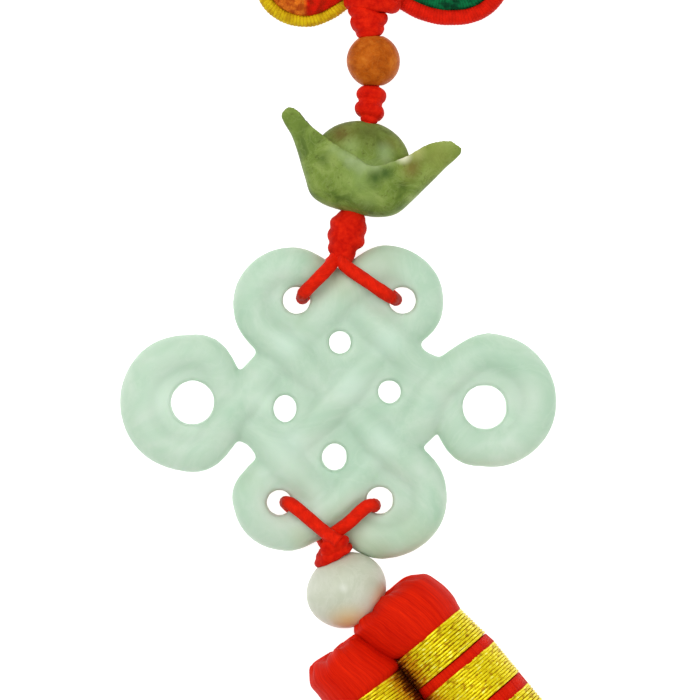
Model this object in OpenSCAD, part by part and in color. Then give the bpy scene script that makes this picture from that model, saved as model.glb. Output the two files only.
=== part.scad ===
// Jade knot pendant with beads, knotted red cords and a pair of silk tassels.
// It is drawn as it lies on its back: +Y runs to the hanging loop, +Z is up, millimetres.

/* [Carved jade knot] */
// Width of a carved strand
strand_w = 4.9; // [4.7:0.1:5.1]
// Height of a carved strand
strand_h = 4; // [3.8:0.1:4.1]
// How far a strand rises or dips where it crosses another
weave_lift = 0.45; // [0.35:0.05:0.5]
// Thickness of the ground between the strands
ground_t = 3.1; // [3:0.1:3.4]
// Radius of the open hole in the middle of each side loop
side_hole_r = 2.6; // [2.3:0.1:2.7]

/* [Beads] */
// Diameter of the orange bead
orange_d = 6.1; // [5.9:0.1:6.2]
// Diameter of the white bead
white_d = 9; // [8.8:0.1:9]
// Diameter of the hole drilled through a bead
bead_bore_d = 2; // [1.9:0.1:2.2]
// Half thickness of the ingot bead, front to back
ingot_half_t = 4.4; // [4.2:0.1:4.5]

/* [Cords] */
// Diameter of the red cord
cord_d = 1.45; // [1.35:0.05:1.5]
// Diameter of the cord in the left ear
left_ear_d = 1.25; // [1.1:0.05:1.3]
// Diameter of the cord in the right ear
right_ear_d = 1.8; // [1.6:0.1:1.9]
// Length of the hanging loop above the top knot
loop_len = 43; // [35:1:60]

/* [Tassels] */
// Length of the fringe below the gold winding
fringe_len = 58; // [50:1:64]
// Thickness of the gold winding
gold_t = 0.7; // [0.6:0.05:0.8]
// How deep the grooves between the locks of the fringe are, as a share of the radius
groove = 0.1; // [0.06:0.01:0.12]

/* [Hidden] */
$fn = 48;

// From the middle of the jade knot to the middle of the whole part
shift = [-20.1, 22.6, 0];
// Gap left between a cord and the piece it runs through
slack = 0.12;

// The jade lies on the sling cords that pass under it
jade_z = cord_d + 0.23 + ground_t - 1.2;
jade_back = 1.2 - ground_t;
// Loops of the carved knot: [centre x, centre y, outer radius]
loop_left = [-17.2, -0.1, 7.9];
loop_right = [17.6, 0.3, 7.6];
loop_top_left = [-5.6, 11.3, 6.6];
loop_top_right = [5.8, 11.5, 6.5];
loop_low_left = [-6.1, -10.9, 6.2];
loop_low_right = [5.6, -10.7, 7.1];
loops = [loop_left, loop_right, loop_top_left, loop_top_right, loop_low_left, loop_low_right];
// Crossings of the woven middle: [x, y]
x_top = [0.4, 12.2];
x_upper_right = [6.2, 7.4];
x_right = [11.8, 2.2];
x_upper_left = [-5.9, 6];
x_mid = [0, 0.4];
x_low_right = [5.8, -5.2];
x_left = [-12.2, -1];
x_low_left = [-6.4, -6.8];
x_bottom = [-0.6, -12.2];
// Places where a strand grows thin or fat between two crossings: [x, y, z, share of its width]
thin_low_left = [-8.95, -3.55, 0, 0.86];
thin_upper_right = [8.65, 4.42, 0, 0.86];
fat_low_right = [9.15, -1.78, 0, 1.08];
// Holes drilled between the strands: [x, y, radius]
holes = [
  [-16.9, -0.1, side_hole_r],
  [17, -0.6, side_hole_r],
  [-4.8, 11.8, 1.6],
  [7.5, 11.8, 1.6],
  [-6.8, -11.7, 1.5],
  [4.8, -11.4, 1.6],
  [0.2, 6.9, 1.3],
  [-6.1, -0.8, 1.5],
  [6, 1.2, 1.4],
  [-0.4, -6.3, 1.6]
];

orange_at = [4.06, 39.6, orange_d/2];
ingot_at = [2.6, 27.2, ingot_half_t];
white_at = [0.8, -21.7, white_d/2];
// The white bead's bore leans up by 5 degrees and points along 112 degrees on the floor
white_lean = [0, 85, 112];

// Outline of the ingot bead along its length: [u, underside, rim, share of the half thickness]
ingot_rows = [
  [-10.1, 4, 4.7, 0.1],
  [-9.5, 3.2, 5.4, 0.2],
  [-8.5, 2.1, 5.2, 0.3],
  [-7.6, 0.6, 4.5, 0.42],
  [-6.8, -1, 3.9, 0.58],
  [-6, -2.5, 3.4, 0.74],
  [-5, -4.2, 2.9, 0.86],
  [-3.3, -5, 2.1, 0.96],
  [-1, -5.3, 1.2, 1],
  [1.1, -5.4, 0.4, 1],
  [3, -5.1, 1.1, 0.97],
  [5.2, -4.2, 2.5, 0.86],
  [6.8, -2.2, 3.6, 0.68],
  [8.2, -0.1, 4.4, 0.46],
  [9.6, 1.9, 4.85, 0.3],
  [10.5, 2.9, 4.75, 0.18],
  [11.1, 3.8, 4.4, 0.08]
];
// One side of the ingot bead's cross section: [share of half thickness, share of the height]
ingot_side = [[0.3, 0], [0.75, 0.1], [0.95, 0.4], [1, 0.8], [0.86, 1], [0.45, 0.9]];

// Cord routes: [x, y, z] from one end to the other
main_route = [[4, 47, 3.05], [4.05, 44, 3.05], [4.06, 42, 3.05], [4.06, 39.6, 3.05], [4.06, 37.4, 3.05],
  [3.95, 36, 3.2], [3.75, 34.4, 3.8], [3.6, 32.8, 4.35], [3.1, 29.9, 4.4], [2.6, 27.2, 4.4],
  [2.1, 24.6, 4.4], [1.6, 22, 4.4], [1.1, 19.8, 4.3]];
upper_left_route = [[-0.55, 16.6, 4.8], [-0.85, 16, 5.8], [-1.25, 15.35, 6.4], [-1.95, 14.5, 6.75],
  [-2.7, 13.7, 6.75], [-3.4, 12.9, 6.5], [-4.05, 12.2, 5.6], [-4.15, 12.05, 4.2], [-4.2, 12, 2.6],
  [-4.15, 12.05, 1.5], [-3.7, 12.6, 0.85], [-3.1, 13.3, 0.76], [-2, 14.9, 0.76], [-1.1, 16.35, 1.4],
  [-0.6, 16.85, 2.8]];
upper_right_route = [[0.95, 16.4, 4.9], [1.2, 15.85, 5.8], [2.1, 15.15, 6.5], [3.5, 14.25, 6.75],
  [4.9, 13.1, 6.75], [5.95, 12.3, 6.5], [6.7, 11.93, 5.6], [6.8, 11.9, 4.2], [6.85, 11.9, 2.6],
  [6.8, 11.9, 1.5], [6.2, 12.3, 0.85], [5.4, 12.9, 0.76], [3.4, 14.5, 0.76], [2.5, 15.5, 0.85],
  [1.75, 16.35, 1.5], [1.1, 16.85, 2.8]];
lower_left_route = [[0.1, -16.1, 7.7], [-0.8, -15.5, 7.4], [-1.9, -14.7, 7], [-3.2, -13.6, 6.8],
  [-4.6, -12.5, 6.75], [-5.6, -11.8, 6.4], [-6.1, -11.6, 5.5], [-6.2, -11.6, 4.2], [-6.2, -11.6, 2.4],
  [-6, -11.8, 1.1], [-5.1, -12.6, 0.75], [-3.2, -14.2, 0.78], [-1.9, -15.8, 1.1], [-1.5, -16.6, 2.4],
  [-1.4, -16.5, 4.6]];
lower_right_route = [[-1.6, -16, 5.7], [-0.8, -15.45, 5.7], [0.1, -14.8, 6.3], [1.4, -13.8, 6.75],
  [2.6, -12.8, 6.8], [3.6, -12.15, 6.4], [4.15, -11.9, 5.5], [4.22, -11.8, 4.2], [4.25, -11.8, 2.4],
  [4.1, -11.95, 1.2], [3.2, -12.9, 0.75], [1.8, -14.4, 0.78], [0.4, -16, 1.1], [0.1, -16.5, 2.4],
  [0.15, -16.4, 4.6]];
left_ear_route = [[1.2, 46.7], [-0.6, 45.3], [-2.2, 44.5], [-3.8, 44.2], [-5.6, 44.5], [-7.2, 45.4],
  [-8.5, 46.9], [-9.1, 49], [-8.7, 51.2], [-7.4, 53], [-5.6, 54], [-3.7, 54.2], [-1.8, 53.7],
  [-0.2, 52.8], [1.2, 51.8]];
right_ear_route = [[6.7, 46.6], [9.3, 45.3], [11.6, 44.8], [13.5, 44.7], [15.3, 44.9], [17.1, 45.7],
  [18.5, 47.2], [19.1, 49.3], [18.6, 51.6], [17.2, 53.4], [15.2, 54.3], [13, 54.4], [10.8, 53.8],
  [8.8, 52.7], [6.7, 51.9]];
loop_top = 53.3 + loop_len;
// Half of the hanging loop, seen from above: [distance from its middle line, y, z]
loop_side = [[0.9, 53.8, 2.4], [1.1, 54.9, 1.7], [1.7, 57, 1], [2.6, 61, 0.75], [3.5, 67, 0.75],
  [4, 75, 0.75], [4, loop_top - 14, 0.75], [3.8, loop_top - 7, 0.75], [2.8, loop_top - 2.2, 0.75]];

// The two tassels: [x and y of the first gold band, heading, scale of its girth]
left_at = [3.27, -33.64];
left_heading = -54.8;
left_girth = 1.02;
right_at = [10.46, -26.86];
right_heading = -50.2;
right_girth = 1;
// Gold bands: [start, length, first radius, last radius]
bands = [[0, 4.3, 4.55, 5], [5.4, 4.8, 5.08, 5.15], [11.6, 4.7, 5.15, 5.25]];
// The axis of the wound part climbs, so that it lies on the floor: [height at its start, slope]
wound_z = 4.94;
wound_slope = 0.03;
// Silk in front of the bands: [distance, sideways, half width, half height]
left_cap = [[-6.3, -0.5, 2.7, 1.9], [-6.1, -0.5, 3.2, 2.8], [-5.4, -0.5, 3.7, 3.8], [-4.4, -0.45, 4.1, 4.4],
  [-3, -0.3, 4.3, 4.75], [-1.6, -0.05, 4.45, 4.9], [-0.6, 0, 4.5, 4.8]];
right_cap = [[-6.95, -0.1, 1.7, 1.4], [-6.6, -1.1, 3.8, 2.7], [-6.1, -1.1, 4.6, 3.6], [-5.4, -0.9, 5.1, 4.3],
  [-4.4, -0.6, 5.3, 4.7], [-3, -0.4, 5.2, 4.85], [-1.5, -0.05, 4.9, 4.85], [-0.6, 0, 4.6, 4.75]];
// Silk behind the bands: [share of the fringe, half width, half height]
fringe_rows = [[0, 4.9, 4.9], [0.05, 5.3, 4.8], [0.17, 5.8, 4.3], [0.34, 6.3, 3.6], [0.55, 6.9, 2.9],
  [0.76, 7.4, 2.5], [0.92, 7.6, 2.2], [1, 7.5, 2]];
silk_n = 24;

function unit(v) = v/norm(v);
function mid(a, b) = (a + b)/2;
function at(p, z) = [p[0], p[1], z];
function over(p) = at(p, weave_lift);
function under(p) = at(p, -weave_lift);
function total(v, i = 0) = i == len(v) ? [0, 0, 0] : v[i] + total(v, i + 1);
function shrunk(r, c, k) = [for (p = r) c + k*(p - c)];
function inner_part(r) = [for (i = [1:len(r) - 2]) r[i]];
function lifted(r, z) = [for (p = r) at(p, z)];

// A smooth curve through the points of a route, with n steps from each point to the next
function curve(r, n) = let (last = len(r) - 1) concat([for (i = [0:last - 1], k = [0:n - 1])
  let (a = r[max(i - 1, 0)], b = r[i], c = r[i + 1], d = r[min(i + 2, last)], t = k/n)
  (2*b + (c - a)*t + (2*a - 5*b + 4*c - d)*t*t + (3*b - a - 3*c + d)*t*t*t)/2], [r[last]]);

// n points round a place on a route that runs along t: half width a, half height b
function ring(p, t, up, a, b, n) = let (s = unit(cross(up, t)), w = unit(cross(t, s)))
  [for (k = [0:n - 1]) p + a*cos(360*(k + 0.5)/n)*s + b*sin(360*(k + 0.5)/n)*w];

// The room a cord needs in a knot: its route, run on a little at both ends
module cord_room(route, up = [0, 0, 1]) {
  r = curve(route, 2);
  n = len(r) - 1;
  cord(concat([r[0] + 0.3*unit(r[0] - r[1])], r, [r[n] + 0.3*unit(r[n] - r[n - 1])]), cord_d + 2*slack, up);
}

// A closed skin over a row of rings
module skin(rings, set_back = 0) {
  n = len(rings[0]);
  last = len(rings) - 1;
  ends = [total(rings[0])/n, total(rings[last])/n];
  run = unit(ends[1] - total(rings[last - 1])/n);
  points = concat([for (r = rings) each r], [ends[0], ends[1] - set_back*run]);
  sides = [for (i = [0:last - 1], k = [0:n - 1]) let (m = (k + 1) % n)
    each [[i*n + k, (i + 1)*n + m, i*n + m], [i*n + k, (i + 1)*n + k, (i + 1)*n + m]]];
  first_end = [for (k = [0:n - 1]) [(last + 1)*n, k, (k + 1) % n]];
  last_end = [for (k = [0:n - 1]) [(last + 1)*n + 1, last*n + (k + 1) % n, last*n + k]];
  polyhedron(points, concat(sides, first_end, last_end));
}

// A cord along a route
module cord(route, d, up = [0, 0, 1], n = 8) {
  last = len(route) - 1;
  skin([for (i = [0:last])
    ring(route[i], unit(route[min(i + 1, last)] - route[max(i - 1, 0)]), up, d/2, d/2, n)]);
}

// A tied knot that lies along Y, with the turns of its cord as slanting lumps
module knot(long, wide, high, lumps, lump = 0.09, n = 11) {
  steps = 4*lumps + 2;
  skin([for (i = [0:steps]) let (t = i/steps, fat = pow(sin(180*(0.05 + 0.9*t)), 0.4))
    [for (k = [0:n - 1]) let (a = 360*(k + 0.5)/n, r = fat*(1 - lump + lump*cos(360*lumps*t - a - 120)))
      [-wide/2*r*cos(a), long*(t - 0.5), high/2*r*sin(a)]]]);
}

module bulge(p) translate([p[0], p[1], p[2]]) scale([1, 1, strand_h/strand_w])
  sphere(d = strand_w*1.03*(len(p) > 3 ? p[3] : 1), $fn = 10);

// A carved strand of the jade knot
module strand(route) for (i = [1:len(route) - 1]) hull() {
  bulge(route[i - 1]);
  bulge(route[i]);
}

// Points round a loop's strand, from one angle to the other
function round_loop(e, a0, a1, n) = [for (i = [0:n]) let (a = a0 + (a1 - a0)*i/n, r = e[2] - strand_w/2)
  [e[0] + r*cos(a), e[1] + r*sin(a), 0]];

module jade_knot() color("darkseagreen") translate(shift + [0, 0, jade_z]) difference() {
  union() {
    strand([under(x_right), thin_upper_right, over(x_upper_right),
      at(mid(x_upper_right, x_top), 0), under(x_top)]);
    strand(concat([under(x_top)], round_loop(loop_top_left, 62, 215, 5),
      [over(x_upper_left), at(mid(x_upper_left, x_mid), 0), under(x_mid)]));
    strand(concat([under(x_mid), at(mid(x_mid, x_low_right), 0), over(x_low_right)],
      round_loop(loop_low_right, 35, -115, 5), [under(x_bottom)]));
    strand([under(x_bottom), at(mid(x_bottom, x_low_left), 0), over(x_low_left), thin_low_left,
      under(x_left)]);
    strand(concat([under(x_left)], round_loop(loop_left, 62, 290, 8),
      [over(x_left), at(mid(x_left, x_upper_left), 0), under(x_upper_left)]));
    strand(concat([under(x_upper_left), at(mid(x_upper_left, x_top), 0), over(x_top)],
      round_loop(loop_top_right, 110, -28, 5), [under(x_upper_right)]));
    strand([under(x_upper_right), at(mid(x_mid, x_upper_right), 0), over(x_mid),
      at(mid(x_low_left, x_mid), 0), under(x_low_left)]);
    strand(concat([under(x_low_left)], round_loop(loop_low_left, 166, 290, 5),
      [over(x_bottom), at(mid(x_bottom, x_low_right), 0), under(x_low_right)]));
    strand(concat([under(x_low_right), fat_low_right, over(x_right)],
      round_loop(loop_right, 112, -125, 9), [under(x_right)]));
    for (e = loops) translate([e[0], e[1], jade_back]) cylinder(r = e[2] - strand_w/2 + 0.6, h = ground_t);
    translate([0, 0, jade_back]) linear_extrude(ground_t) polygon([x_top, x_right, x_bottom, x_left]);
  }
  translate([-30, -25, jade_back - 5]) cube([60, 50, 5]);
  for (h = holes) translate([h[0], h[1], -5]) cylinder(r = h[2], h = 12, $fn = 24);
}

module orange_bead() color("chocolate") translate(shift + orange_at) difference() {
  sphere(d = orange_d);
  rotate([90, 0, 0]) cylinder(d = bead_bore_d, h = orange_d + 2, center = true);
}

// Boat of the ingot bead: rings across its length
function ingot_ring(row) = let (side = [for (s = ingot_side)
    [s[0]*row[3]*ingot_half_t, row[1] + s[1]*(row[2] - row[1])]], n = len(side))
  concat([for (i = [n - 1:-1:0]) [row[0], side[i][1], side[i][0]]],
    [for (i = [0:n - 1]) [row[0], side[i][1], -side[i][0]]]);

module ingot_bead() color("olivedrab") translate(shift + ingot_at) rotate([0, 0, -11]) difference() {
  union() {
    skin([for (row = ingot_rows) ingot_ring(row)]);
    translate([0.05, 1, 0]) scale([5.7, 4.35, 3.6]) rotate([0, 0, -90]) sphere(r = 1, $fn = 14);
  }
  rotate([90, 0, 0]) cylinder(d = bead_bore_d, h = 20, center = true);
}

module white_bead() color("ivory") translate(shift + white_at) difference() {
  sphere(d = white_d);
  rotate(white_lean) cylinder(d = bead_bore_d, h = white_d + 2, center = true);
}

module top_knot() color("crimson") translate(shift) difference() {
  translate([3.9, 49.3, 2.6]) knot(8, 7.6, 5.1, 3, 0.07);
  cord_room(main_route);
}

module left_ear_outer() color("gold") translate(shift)
  cord(curve(lifted(left_ear_route, left_ear_d/2 + 0.02), 2), left_ear_d);

module left_ear_inner() color("orangered") translate(shift)
  cord(curve(lifted(concat([[0.6, 47.9]], inner_part(shrunk(left_ear_route, [-3.7, 49.2], 0.71)),
    [[0.6, 50.6]]), left_ear_d/2 + 0.02), 2), left_ear_d);

module right_ear_outer() color("red") translate(shift)
  cord(curve(lifted(right_ear_route, right_ear_d/2 + 0.02), 2), right_ear_d);

module right_ear_inner() color("seagreen") translate(shift)
  cord(curve(lifted(concat([[7.5, 48.5]], inner_part(shrunk(right_ear_route, [13.2, 49.6], 0.62)),
    [[7.5, 50.3]]), 0.67), 2), 1.3);

module hanging_loop() color("crimson") translate(shift) {
  last = len(loop_side) - 1;
  left = [for (p = loop_side) [3.9 - p[0], p[1], p[2]]];
  right = [for (i = [last:-1:0]) [3.9 + loop_side[i][0], loop_side[i][1], loop_side[i][2]]];
  cord(curve(concat(left, [[3.9, loop_top, 0.75]], right), 2), cord_d);
}

module upper_knot() color("crimson") translate(shift) difference() {
  translate([3.75, 43.95, 3.05]) rotate([0, 0, 8]) knot(2.4, 4.3, 3.9, 2);
  cord_room(main_route);
}

module bead_knot() color("crimson") translate(shift) difference() {
  translate([3.75, 34.6, 3.7]) rotate([-15, 0, -8]) knot(3.9, 3.5, 3.5, 2, 0.16);
  cord_room(main_route);
}

module sling_knot() color("crimson") translate(shift) difference() {
  translate([1, 19.4, 4.2]) rotate([0, 0, -13]) knot(5, 4.5, 4.2, 3);
  cord_room(main_route);
}

module main_cord() color("red") translate(shift) cord(curve(main_route, 2), cord_d);

module upper_sling_left() color("red") translate(shift)
  cord(curve(upper_left_route, 2), cord_d, [0.8, 0.6, 0]);
module upper_sling_right() color("red") translate(shift)
  cord(curve(upper_right_route, 2), cord_d, [-0.6, 0.8, 0]);
module lower_sling_left() color("red") translate(shift)
  cord(curve(lower_left_route, 2), cord_d, [-0.6, 0.8, 0]);
module lower_sling_right() color("red") translate(shift)
  cord(curve(lower_right_route, 2), cord_d, [0.6, 0.8, 0]);

module lower_knot() color("crimson") translate(shift) difference() {
  union() {
    translate([-0.6, -16.9, 7.1]) rotate([20, 0, 17]) knot(2.4, 3.8, 2.4, 1, 0.06, 10);
    translate(white_at) rotate(white_lean) translate([0, 0, white_d/2 + 0.3])
      rotate_extrude() translate([1.95, 0]) circle(d = 1.25, $fn = 24);
  }
  translate(white_at) sphere(d = white_d + 0.3);
  translate(white_at) rotate(white_lean) cylinder(d = cord_d + 2*slack, h = white_d/2 + 1);
  cord_room(lower_left_route, [-0.6, 0.8, 0]);
  cord_room(lower_right_route, [0.6, 0.8, 0]);
}

module bead_cord() color("red") translate(shift + white_at) rotate(white_lean)
  translate([0, 0, 0.1 - white_d/2]) cylinder(d = cord_d, h = white_d - 0.2);

// Places along a tassel: rings of silk with locks that grow deeper along the fringe
function silk_ring(s, q, z, w, h, depth, lobe) = [for (k = [0:silk_n - 1])
  let (a = 360*(k + 0.5)/silk_n, f = k % 2 == 0 ? 1 : 1 - depth)
  [s + lobe*cos(5*a) + lobe*(k % 2), q + w*f*cos(a), z + h*f*sin(a)]];

function wound_r(b, s) = b[2] + (b[3] - b[2])*(s - b[0])/b[1];

module tassel(place, heading, girth, cap) {
  end = bands[2][0] + bands[2][1];
  z0 = wound_z*girth;
  front = [for (c = cap) silk_ring(c[0], c[1], max(c[3], z0 + wound_slope*c[0]), c[2], c[3], 0.02, 0)];
  wound = [for (b = bands) each [
    for (s = [b[0] - 0.12, b[0], b[0] + b[1], b[0] + b[1] + 0.12])
      let (inside = s >= b[0] && s <= b[0] + b[1], r = wound_r(b, s)*girth - (inside ? gold_t + 0.3 : 0.15))
      silk_ring(s, 0, z0 + wound_slope*s, r, r, 0, 0)]];
  fringe = [for (f = fringe_rows) let (last = f[0] == 1)
    silk_ring(end + 0.5 + f[0]*fringe_len, 0, max(f[2], 0.2 + f[2]), f[1]*(f[0] < 0.1 ? girth : 1), f[2],
      groove*min(1, 4*f[0]), last ? 1.5 : 0)];
  translate(at(place, 0)) rotate([0, 0, heading]) skin(concat(front, wound, fringe), 3);
}

module gold_band(place, heading, girth, b) {
  r0 = b[2]*girth;
  r1 = b[3]*girth;
  translate(at(place, wound_z*girth)) rotate([0, -atan(wound_slope), heading]) translate([b[0] + 0.18, 0, 0])
    rotate([0, 90, 0]) rotate_extrude()
      polygon([[r0 - gold_t, 0], [r0 - 0.2, 0], [r0, 0.2], [r1, b[1] - 0.56], [r1 - 0.2, b[1] - 0.36],
        [r1 - gold_t, b[1] - 0.36]]);
}

module left_tassel() color("firebrick") translate(shift) tassel(left_at, left_heading, left_girth, left_cap);
module right_tassel() color("firebrick") translate(shift) difference() {
  tassel(right_at, right_heading, right_girth, right_cap);
  translate(white_at) sphere(d = white_d + 0.4);
}

module left_band_1() color("goldenrod") translate(shift)
  gold_band(left_at, left_heading, left_girth, bands[0]);
module left_band_2() color("goldenrod") translate(shift)
  gold_band(left_at, left_heading, left_girth, bands[1]);
module left_band_3() color("goldenrod") translate(shift)
  gold_band(left_at, left_heading, left_girth, bands[2]);
module right_band_1() color("goldenrod") translate(shift)
  gold_band(right_at, right_heading, right_girth, bands[0]);
module right_band_2() color("goldenrod") translate(shift)
  gold_band(right_at, right_heading, right_girth, bands[1]);
module right_band_3() color("goldenrod") translate(shift)
  gold_band(right_at, right_heading, right_girth, bands[2]);

jade_knot();
orange_bead();
ingot_bead();
white_bead();
top_knot();
left_ear_outer();
left_ear_inner();
right_ear_outer();
right_ear_inner();
hanging_loop();
upper_knot();
bead_knot();
sling_knot();
main_cord();
upper_sling_left();
upper_sling_right();
lower_sling_left();
lower_sling_right();
lower_knot();
bead_cord();
left_tassel();
right_tassel();
left_band_1();
left_band_2();
left_band_3();
right_band_1();
right_band_2();
right_band_3();
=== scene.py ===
import bpy
import random
from math import atan, atan2, cos, exp, hypot, pi, radians, sin
from mathutils import Matrix, Vector, noise


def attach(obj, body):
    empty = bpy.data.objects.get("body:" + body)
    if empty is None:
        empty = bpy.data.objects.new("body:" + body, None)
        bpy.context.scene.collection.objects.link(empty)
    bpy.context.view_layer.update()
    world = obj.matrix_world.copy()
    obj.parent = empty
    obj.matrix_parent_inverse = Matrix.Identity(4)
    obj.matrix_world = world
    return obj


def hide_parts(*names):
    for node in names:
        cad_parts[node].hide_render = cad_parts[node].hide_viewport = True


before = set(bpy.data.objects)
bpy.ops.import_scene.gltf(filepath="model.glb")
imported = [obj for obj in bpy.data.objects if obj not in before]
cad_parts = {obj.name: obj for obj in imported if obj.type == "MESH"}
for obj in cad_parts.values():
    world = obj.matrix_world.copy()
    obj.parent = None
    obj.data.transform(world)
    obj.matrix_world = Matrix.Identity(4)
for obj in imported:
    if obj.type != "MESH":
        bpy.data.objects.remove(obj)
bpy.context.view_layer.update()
print("frame loaded")

mm = 0.001
fullTurn = 2 * pi
toMiddle = Vector((-20.1, 22.6, 0))  # from the jade's middle to the middle of the whole pendant, mm
lowestPoint = 0.01  # height above the floor, mm
drillLong = 20  # longer than any piece is thick, mm
random.seed(11)


def spot(x, y, z=0):
    return (Vector((x, y, z)) + toMiddle) * mm


def toMode(mode):
    bpy.ops.object.mode_set(mode=mode)


def clearSelection():
    if bpy.context.object and bpy.context.object.mode != 'OBJECT':
        toMode('OBJECT')
    bpy.ops.object.select_all(action='DESELECT')


def useOnly(piece):
    clearSelection()
    piece.select_set(True)
    bpy.context.view_layer.objects.active = piece


def editWhole(piece, operator, **settings):
    useOnly(piece)
    toMode('EDIT')
    bpy.ops.mesh.select_all(action='SELECT')
    operator(**settings)
    toMode('OBJECT')


def shapeWith(piece, kind, **settings):
    useOnly(piece)
    modifier = piece.modifiers.new(kind.title(), kind)
    for key, value in settings.items():
        setattr(modifier, key, value)
    bpy.ops.object.modifier_apply(modifier=modifier.name)


def joinInto(piece, others):
    useOnly(piece)
    for other in others:
        other.select_set(True)
    bpy.ops.object.join()
    return piece


def bakePlace(piece):
    useOnly(piece)
    bpy.ops.object.transform_apply(location=True, rotation=True, scale=True)


# parts that touch melt into one skin, and its edges are softened
def melt(piece, grain, rounds):
    shapeWith(piece, 'REMESH', mode='VOXEL', voxel_size=grain * mm)
    shapeWith(piece, 'SMOOTH', factor=0.5, iterations=rounds)


def addRod(sides, radius, depth, place=(0, 0, 0), **more):
    bpy.ops.mesh.primitive_cylinder_add(vertices=sides, radius=radius * mm, depth=depth * mm,
                                        location=place, **more)
    return bpy.context.object


def cutAway(piece, tool):
    bakePlace(tool)
    shapeWith(piece, 'BOOLEAN', operation='DIFFERENCE', object=tool, solver='MANIFOLD')
    bpy.data.objects.remove(tool)


# a hand-made surface is never quite even: points move along their normals by a slow noise
def waver(piece, size, depth):
    vertices = piece.data.vertices
    moves = [vertex.normal * (depth * mm * noise.noise(vertex.co / (size * mm))) for vertex in vertices]
    for vertex, move in zip(vertices, moves):
        vertex.co += move


# a piece is named after its node: left_ear_outer is leftEarOuter
def finishPiece(piece, node, material, name=None):
    bakePlace(piece)
    for vertex in piece.data.vertices:
        vertex.co.z = max(vertex.co.z, lowestPoint * mm)
    first, *others = node.split("_")
    piece.name = piece.data.name = name or first + "".join(word.title() for word in others)
    piece.data.materials.clear()
    piece.data.materials.append(material)
    bpy.ops.object.shade_smooth()
    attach(piece, "root")
    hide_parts(node)


# a smooth line through the points of a route, closed or open
def smoothRoute(points, steps, closed=False):
    count = len(points)
    line = []
    for i in range(count if closed else count - 1):
        near = [i - 1, i, i + 1, i + 2]
        a, b, c, d = (points[k % count if closed else min(max(k, 0), count - 1)] for k in near)
        for k in range(steps):
            t = k / steps
            line.append((2 * b + (c - a) * t + (2 * a - 5 * b + 4 * c - d) * t * t
                         + (3 * b - a - 3 * c + d) * t * t * t) / 2)
    if not closed:
        line.append(points[-1].copy())
    return line


def distancesAlong(line):
    walked = [0]
    for a, b in zip(line, line[1:]):
        walked.append(walked[-1] + (b - a).length)
    return walked


# the same line with its points at even distances
def evenRoute(line, gap):
    lengths = distancesAlong(line)
    count = max(2, round(lengths[-1] / gap))
    even, i = [], 0
    for k in range(count + 1):
        s = lengths[-1] * k / count
        while i < len(line) - 2 and lengths[i + 1] < s:
            i += 1
        span = lengths[i + 1] - lengths[i]
        even.append(line[i].lerp(line[i + 1], (s - lengths[i]) / span if span else 0))
    return even


# straight splines with a round section, made a mesh with an empty UV map
def meshFromLines(lines, radius, sides, closed=False, girths=None):
    clearSelection()
    curve = bpy.data.curves.new("lines", 'CURVE')
    curve.dimensions = '3D'
    curve.bevel_depth = radius
    curve.bevel_resolution = (sides - 4) // 2
    for line in lines:
        spline = curve.splines.new('POLY')
        spline.points.add(len(line) - 1)
        for i, (point, place) in enumerate(zip(spline.points, line)):
            point.co = (*place, 1)
            point.radius = girths[i] if girths else 1
        spline.use_cyclic_u = closed
    tube = bpy.data.objects.new("lines", curve)
    bpy.context.scene.collection.objects.link(tube)
    useOnly(tube)
    bpy.ops.object.convert(target='MESH')
    tube = bpy.context.object
    while tube.data.uv_layers:
        tube.data.uv_layers.remove(tube.data.uv_layers[0])
    return tube, tube.data.uv_layers.new(name="UVMap")


# a tube with its own UV map: U runs along it in mm, V once round it
def tubeAlong(line, radius, sides=12, closed=False, girths=None):
    tube, layer = meshFromLines([line], radius, sides, closed, girths)
    walked = distancesAlong(line)
    walked.append(walked[-1] + (line[0] - line[-1]).length)
    for face in tube.data.polygons:
        corners = [divmod(tube.data.loops[k].vertex_index, sides) for k in face.loop_indices]
        lastRing, lastSide = (max(met) for met in zip(*corners))
        for k, (ring, side) in zip(face.loop_indices, corners):
            ring = len(line) if ring == 0 and lastRing > 1 else ring
            side = sides if side == 0 and lastSide > 1 else side
            layer.data[k].uv = (walked[ring] / mm, side / sides)
    if not closed:
        editWhole(tube, bpy.ops.mesh.fill_holes, sides=0)
    return tube


# presses a twisted lay into a tube: plies round it, a ridge every pitch mm along it
def pressTwist(tube, line, sides, look, share=1):
    walked = 0
    for ring, centre in enumerate(line):
        if ring:
            walked += (centre - line[ring - 1]).length / mm
        for side in range(sides):
            vertex = tube.data.vertices[ring * sides + side]
            turn = fullTurn * (look["plies"] * side / sides - walked / look["pitch"])
            swell = 1 + share * look["depth"] * cos(turn) + look["drift"] * noise.noise(centre * 900)
            vertex.co = centre + (vertex.co - centre) * swell


# the drilled holes squeeze a cord that runs down through them: height and reach of that, mm
squeezed = {"z": 3.4, "reach": 1.4}


def cordPiece(route, radius, look, sides=12, gap=0.2, squeeze=0):
    line = evenRoute(smoothRoute(route, 6), gap * mm)
    girths = [1 - squeeze * exp(-((point.z / mm - squeezed["z"]) / squeezed["reach"]) ** 2)
              for point in line]
    tube = tubeAlong(line, radius * mm, sides, girths=girths)
    pressTwist(tube, line, sides, look)
    return tube, line


# ---- camera
photo = {"width": 81.2 * mm, "middle": spot(1.39, 6.03, 3.5), "away": 1, "sensor": 36}

clearSelection()
bpy.ops.object.camera_add(location=photo["middle"] + Vector((0, 0, photo["away"])), rotation=(0, 0, 0))
camera = bpy.context.object
camera.name = "photoCamera"
camera.data.sensor_width = photo["sensor"]
camera.data.lens = photo["sensor"] * photo["away"] / photo["width"]
camera.data.clip_start = 0.01
camera.data.clip_end = 10
bpy.context.scene.camera = camera
print("camera set")


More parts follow.
